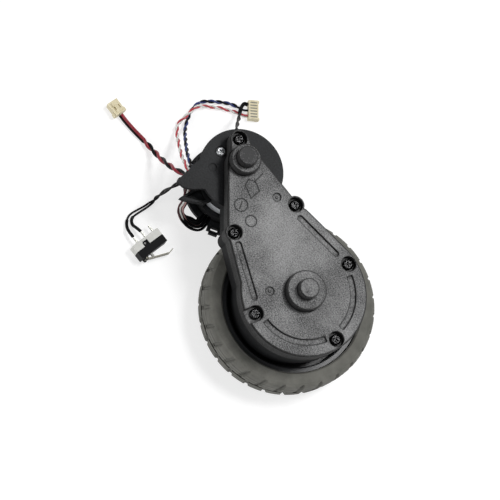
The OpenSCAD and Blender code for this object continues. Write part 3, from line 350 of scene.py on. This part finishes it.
# routes of the leads, the same points as in the part's source, in mm
routes = {
    "motor_lead": [(61.2, 19.3, 25.7), (62.2, 19.9, 22.4), (65.5, 21.5, 19), (70.5, 22, 13), (75.5, 22, 7),
                   (80, 22, 3), (84.5, 23, 1.3), (91.5, 25.7, 1.3), (96, 27.2, 1.4), (99.2, 28.1, 1.8)],
    "sensor_lead_dark": [(63.4, 16.2, 25.7), (64.7, 16.5, 23), (68, 15.5, 21), (72, 13.5, 16.5),
                         (81, 8, 6.5), (85, 5, 2.5), (88.5, 2, 0.9), (91.5, -1.5, 0.9), (93, -5.5, 0.9),
                         (92, -10, 0.9), (88.5, -17, 0.9), (85.2, -20.4, 1), (83.5, -21.8, 1.3),
                         (82.8, -23.3, 1.4)],
    "sensor_lead_red": [(62.2, 17.4, 25.7), (63.5, 18.2, 22.6), (67.5, 17.5, 20), (71.5, 15.8, 15),
                        (80, 11.5, 6), (84, 9.5, 2.8), (87.5, 7, 1.3), (89, 3.5, 2.2), (90.3, 0.2, 2.7),
                        (91.3, -3.2, 2.6), (90.5, -7.5, 1.1), (88, -12.5, 0.9), (85, -17, 0.9),
                        (81.3, -20.7, 1.3), (80.6, -22.2, 1.4)],
    "connector_lead": [(71, -6.5, 24.6), (74, -9.5, 19), (80.5, -17, 6), (84, -20, 3.6), (85.8, -22.8, 2),
                       (85.1, -24.3, 1.4)],
    "switch_wire_a": [(60.2, 21.3, 25.7), (60.2, 22.5, 22), (61, 25, 16.5), (62, 28, 5.5),
                      (61.5, 30.5, 1.5), (60.5, 34, 0.6), (59.5, 40.5, 0.6), (58, 43, 0.6),
                      (55.5, 44.5, 1), (53, 45, 2.2), (49.9, 44.5, 2.9)],
    "switch_wire_b": [(59.2, 21.3, 25.7), (59.2, 22.5, 22), (60, 25, 16.5), (61, 28, 5.5),
                      (60.5, 30.2, 1.5), (59.5, 33.8, 0.6), (58.2, 39.8, 0.6), (57, 41.6, 0.6),
                      (55, 42.2, 1), (53, 41.6, 2.2), (50.9, 40.7, 2.9)],
    "harness_loop": [(48, 11, 4), (44.7, 16.3, 4.1), (44.1, 18.4, 4.2), (45.2, 20.2, 4.3),
                     (47.2, 21.6, 4.6), (49.4, 22.8, 5.3), (51.3, 23.4, 7), (52.6, 23.2, 9.4),
                     (53.4, 22.4, 12), (54.5, 21.5, 14.5), (56.1, 20.6, 16.9), (57.5, 19.8, 19.4),
                     (58.4, 19.3, 25.7)],
}

# points between two of the route, fewest steps, and the side vector's length where a path counts as upright
curve = {"perSpan": 16, "least": 8, "upright": 0.05}


def smoothPath(points, stepMm):
    # a rounded curve through the route's points, at even steps
    pts = [Vector(p) for p in points]
    dense = []
    for i in range(len(pts) - 1):
        p0, p1, p2 = pts[max(i - 1, 0)], pts[i], pts[i + 1]
        p3 = pts[min(i + 2, len(pts) - 1)]
        for k in range(curve["perSpan"]):
            t = k / curve["perSpan"]
            dense.append(0.5 * (2 * p1 + (p2 - p0) * t + (2 * p0 - 5 * p1 + 4 * p2 - p3) * t * t
                                + (3 * p1 - p0 - 3 * p2 + p3) * t ** 3))
    dense.append(pts[-1])
    total = sum((b - a).length for a, b in zip(dense, dense[1:]))
    count = max(int(total / stepMm), curve["least"])
    even, walked, i = [dense[0]], 0.0, 0
    for k in range(1, count):
        goal = total * k / count
        while walked + (dense[i + 1] - dense[i]).length < goal:
            walked += (dense[i + 1] - dense[i]).length
            i += 1
        span = (dense[i + 1] - dense[i]).length
        even.append(dense[i].lerp(dense[i + 1], (goal - walked) / span))
    even.append(dense[-1])
    return even, total


def carriedFrames(path):
    # side and up vectors that turn as little as they can along the path
    tangents = []
    for i in range(len(path)):
        tangents.append((path[min(i + 1, len(path) - 1)] - path[max(i - 1, 0)]).normalized())
    side = tangents[0].cross(Vector((0, 0, 1)))
    if side.length <= curve["upright"]:
        side = tangents[0].cross(Vector((1, 0, 0)))
    side.normalize()
    frames = []
    for t in tangents:
        side = (side - t * side.dot(t)).normalized()
        frames.append((side, t.cross(side)))
    return frames


def addTube(verts, faces, path, radius, sides=10):
    frames = carriedFrames(path)
    base = len(verts)
    for point, (side, up) in zip(path, frames):
        for k in range(sides):
            a = 2 * math.pi * k / sides
            verts.append(tuple((point + radius * (math.cos(a) * side + math.sin(a) * up)) * mm))
    for i in range(len(path) - 1):
        for k in range(sides):
            n = (k + 1) % sides
            faces.append((base + i * sides + k, base + i * sides + n,
                          base + (i + 1) * sides + n, base + (i + 1) * sides + k))
    faces.append(tuple(base + k for k in reversed(range(sides))))
    faces.append(tuple(base + (len(path) - 1) * sides + k for k in range(sides)))


def makeMesh(name, parts, body="gearbox"):
    # parts: list of (verts, faces, finish name); one object with a slot for each finish
    mesh = bpy.data.meshes.new(name)
    verts, faces, slots, names = [], [], [], []
    for v, f, finish in parts:
        if finish not in names:
            names.append(finish)
        base = len(verts)
        verts += v
        faces += [tuple(base + i for i in face) for face in f]
        slots += [names.index(finish)] * len(f)
    mesh.from_pydata(verts, [], faces)
    for finish in names:
        mesh.materials.append(finishes[finish])
    mesh.polygons.foreach_set("material_index", slots)
    mesh.polygons.foreach_set("use_smooth", [True] * len(mesh.polygons))
    mesh.validate()
    mesh.update()
    obj = bpy.data.objects.new(name, mesh)
    bpy.context.scene.collection.objects.link(obj)
    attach(obj, body)
    return obj


def strandPath(path, frames, angles, offset):
    return [p + offset * (math.cos(a) * side + math.sin(a) * up)
            for p, (side, up), a in zip(path, frames, angles)]


leads = {
    "motor_lead": {
        "wire": 0.62, "offset": 0.6, "turnMm": 9.0, "finishes": ["pvcRed", "pvcBlack"], "width": 2.1,
        "end": "connector", "slot": "wire_red", "with": ["motor_connector", "motor_contacts"],
        "straightFrom": 0.72, "start": 0.26},
    "sensor_lead_dark": {
        "wire": 0.43, "offset": 0.42, "turnMm": 6.5, "finishes": ["pvcNavy", "pvcBlack"], "width": 1.38,
        "end": "connector", "slot": "wire_navy", "with": ["sensor_connector", "sensor_contacts"],
        "straightFrom": 0.93, "start": 0.0},
    "sensor_lead_red": {
        "wire": 0.41, "offset": 0.4, "turnMm": 6.5, "finishes": ["pvcRose", "pvcWhite"], "width": 1.38,
        "end": "connector", "slot": "wire_rose", "with": ["sensor_connector"],
        "straightFrom": 0.93, "start": 1.0},
    "connector_lead": {
        "wire": 0.43, "offset": 0.42, "turnMm": 12.0, "finishes": ["pvcBlack", "pvcBlack"], "width": 1.38,
        "end": "connector", "slot": "wire_black", "with": ["sensor_connector"],
        "straightFrom": 0.85, "start": 0.0},
}
leadStepMm = 0.45


def addTwistedPair(name, s):
    path, total = smoothPath(routes[name], leadStepMm)
    frames = carriedFrames(path)
    angles, a = [], s["start"]
    for i in range(len(path)):
        share = i / (len(path) - 1)
        angles.append(a)
        ahead = path[min(i + 1, len(path) - 1)] - path[i]
        step = math.hypot(ahead.x, ahead.y)   # hanging stretches are pulled nearly straight
        # the twist ends before the plug, where the wires part
        a += 2 * math.pi * step / s["turnMm"] * (1 if share < s["straightFrom"] else 0)
    parts = []
    for k in (0, 1):
        verts, faces = [], []
        strand = strandPath(path, frames, [x + math.pi * k for x in angles], s["offset"])
        addTube(verts, faces, strand, s["wire"])
        parts.append((verts, faces, s["finishes"][k]))
    obj = makeMesh(name + "_pair", parts)
    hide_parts(name)


for leadName, leadSettings in leads.items():
    addTwistedPair(leadName, leadSettings)


switchWires = {"wire": 0.44, "offset": 0.45, "turnMm": 6.0, "partFrom": 0.5, "partTo": 0.62, "sleeve": 0.66,
               "sleeveMm": 9.0, "sleeveSides": 12, "width": 0.9, "stepMm": 0.4}


def addSwitchWire(name, s):
    # both wires wind round their middle line until they part for the terminals
    own, total = smoothPath(routes[name], s["stepMm"])
    otherName = "switch_wire_b" if name == "switch_wire_a" else "switch_wire_a"
    other = smoothPath(routes[otherName], s["stepMm"])[0]
    phase = 0.0 if name == "switch_wire_a" else math.pi
    middle = []
    for i, p in enumerate(own):
        k = min(int(i * (len(other) - 1) / (len(own) - 1)), len(other) - 1)
        middle.append((p + other[k]) * 0.5)
    frames = carriedFrames(middle)
    path, level = [], 0.0
    for i, (p, m) in enumerate(zip(own, middle)):
        share = i / (len(own) - 1)
        side, up = frames[i]
        ahead = middle[min(i + 1, len(middle) - 1)] - m
        level += math.hypot(ahead.x, ahead.y)
        a = phase + 2 * math.pi * level / s["turnMm"]
        wound = m + s["offset"] * (math.cos(a) * side + math.sin(a) * up)
        part = min(max((share - s["partFrom"]) / (s["partTo"] - s["partFrom"]), 0), 1)
        path.append(wound.lerp(p, part * part * (3 - 2 * part)))
    verts, faces = [], []
    addTube(verts, faces, path, s["wire"])
    parts = [(verts, faces, "pvcBlack")]
    # heat shrink sleeve over the joint with the terminal
    count = int(len(path) * s["sleeveMm"] / total)
    verts, faces = [], []
    addTube(verts, faces, path[-count:], s["sleeve"], s["sleeveSides"])
    parts.append((verts, faces, "pvcBlack"))
    obj = makeMesh(name + "_wire", parts)
    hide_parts(name)


for wireName in ("switch_wire_a", "switch_wire_b"):
    addSwitchWire(wireName, switchWires)


# each strand: finish, place across and above the middle line in the flat ribbon, and in the bundle, in mm
# (+ is inward); the waver is an amount in mm, and waves along the loop with a shift from strand to strand
loop = {
    "wire": 0.4, "width": 2.8, "stepMm": 0.5, "ribbonTo": 0.3, "bundleFrom": 0.48, "waver": 0.14,
    "wavesAcross": (9, 1.7), "wavesUp": (7, 2.1),
    "strands": [
        ("pvcBlack", (-1.95, 0.1), (-0.7, -0.5)),
        ("pvcDarkRed", (-1.3, -0.75), (-1.2, 0.35)),
        ("pvcBlack", (-1.3, -0.05), (0.1, -0.9)),
        ("pvcBlack", (-0.65, 0.15), (0.0, 0.0)),
        ("pvcWhite", (-0.3, -0.85), (-0.3, 0.9)),
        ("pvcBlack", (0.0, 0.0), (-0.8, -1.2)),
        ("pvcPink", (0.35, -0.85), (0.5, 0.75)),
        ("pvcBlack", (0.65, 0.2), (0.7, -0.5)),
        ("pvcBlack", (1.3, 0.0), (0.9, 0.2)),
        ("pvcBlack", (1.95, -0.1), (0.9, -1.1)),
        ("pvcBlack", (2.55, -0.5), (0.2, -1.6)),
    ],
}


def addHarnessLoop(s):
    path, total = smoothPath(routes["harness_loop"], s["stepMm"])
    parts = []
    for k, (finish, ribbon, bundle) in enumerate(s["strands"]):
        strand = []
        for i, p in enumerate(path):
            share = i / (len(path) - 1)
            t = (path[min(i + 1, len(path) - 1)] - path[max(i - 1, 0)]).normalized()
            flat = t.cross(Vector((0, 0, 1))).normalized()
            rise = flat.cross(t)
            mix = min(max((share - s["ribbonTo"]) / (s["bundleFrom"] - s["ribbonTo"]), 0), 1)
            mix = mix * mix * (3 - 2 * mix)
            place = []
            for axis, (waves, shift) in enumerate((s["wavesAcross"], s["wavesUp"])):
                laid = ribbon[axis] * (1 - mix) + bundle[axis] * mix
                place.append(laid + s["waver"] * math.sin(waves * share + shift * k))
            strand.append(p + place[0] * flat + place[1] * rise)
        verts, faces = [], []
        addTube(verts, faces, strand, s["wire"])
        parts.append((verts, faces, finish))
    obj = makeMesh("harness_loop_wires", parts)
    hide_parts("harness_loop")


addHarnessLoop(loop)
print("leads made")


# floor: a white light table just under the tyre, so that the faces don't share a plane; half its side in m
floor = {"half": 1.5, "heightMm": -0.2, "mid": "aaaaaa", "dark": "a8a8a8", "light": "acacac", "rough": 0.75,
         "dustScale": 30.0, "glowColour": "ffffff", "glow": 0.66}


def addFloor(s):
    mesh = bpy.data.meshes.new("floor")
    half = s["half"]
    corners = [(-half, -half, 0), (half, -half, 0), (half, half, 0), (-half, half, 0)]
    mesh.from_pydata(corners, [], [(0, 1, 2, 3)])
    # opal glass lit from below, with hardly any dust
    mat, shader, where = startMaterial("opalGlass", s["mid"], s["rough"])
    dust = addNode(mat, "ShaderNodeTexNoise", {"Scale": s["dustScale"]}, {"Vector": where})
    shadeBetween(mat, shader, dust.outputs["Fac"], s["dark"], s["light"])
    shader.inputs["Emission Color"].default_value = hexColour(s["glowColour"])
    shader.inputs["Emission Strength"].default_value = s["glow"]
    mesh.materials.append(mat)
    obj = bpy.data.objects.new("floor", mesh)
    obj.location.z = s["heightMm"] * mm
    bpy.context.scene.collection.objects.link(obj)


# lights: one soft box above and four weak ones round it, places and sizes in m, powers in W
lights = {
    "top": {"place": (0.06, -0.42, 0.98), "size": 0.3, "power": 6.5},
    "right": {"place": (-0.35, -0.75, 0.6), "size": 0.5, "power": 1.5},
    "left": {"place": (0.25, 0.9, 0.5), "size": 0.6, "power": 3},
    "front": {"place": (-0.85, 0.3, 0.6), "size": 0.6, "power": 1.6},
    "back": {"place": (0.95, -0.35, 0.65), "size": 0.6, "power": 1.6},
}
studio = {"aim": (0.03, 0, 0.02), "colour": "f4f6f8", "strength": 0.2}


def addLights(boxes, around):
    for name, s in boxes.items():
        data = bpy.data.lights.new(name, "AREA")
        data.shape, data.size, data.energy = "DISK", s["size"], s["power"]
        obj = bpy.data.objects.new(name, data)
        obj.location = s["place"]
        target = Vector(around["aim"]) - obj.location
        obj.rotation_euler = target.to_track_quat("-Z", "Y").to_euler()
        bpy.context.scene.collection.objects.link(obj)
    world = bpy.data.worlds.new("studio")
    world.use_nodes = True
    world.node_tree.nodes["Background"].inputs["Color"].default_value = hexColour(around["colour"])
    world.node_tree.nodes["Background"].inputs["Strength"].default_value = around["strength"]
    bpy.context.scene.world = world
    bpy.context.scene.view_settings.view_transform = "Standard"


addFloor(floor)
addLights(lights, studio)
print("floor and lights set")
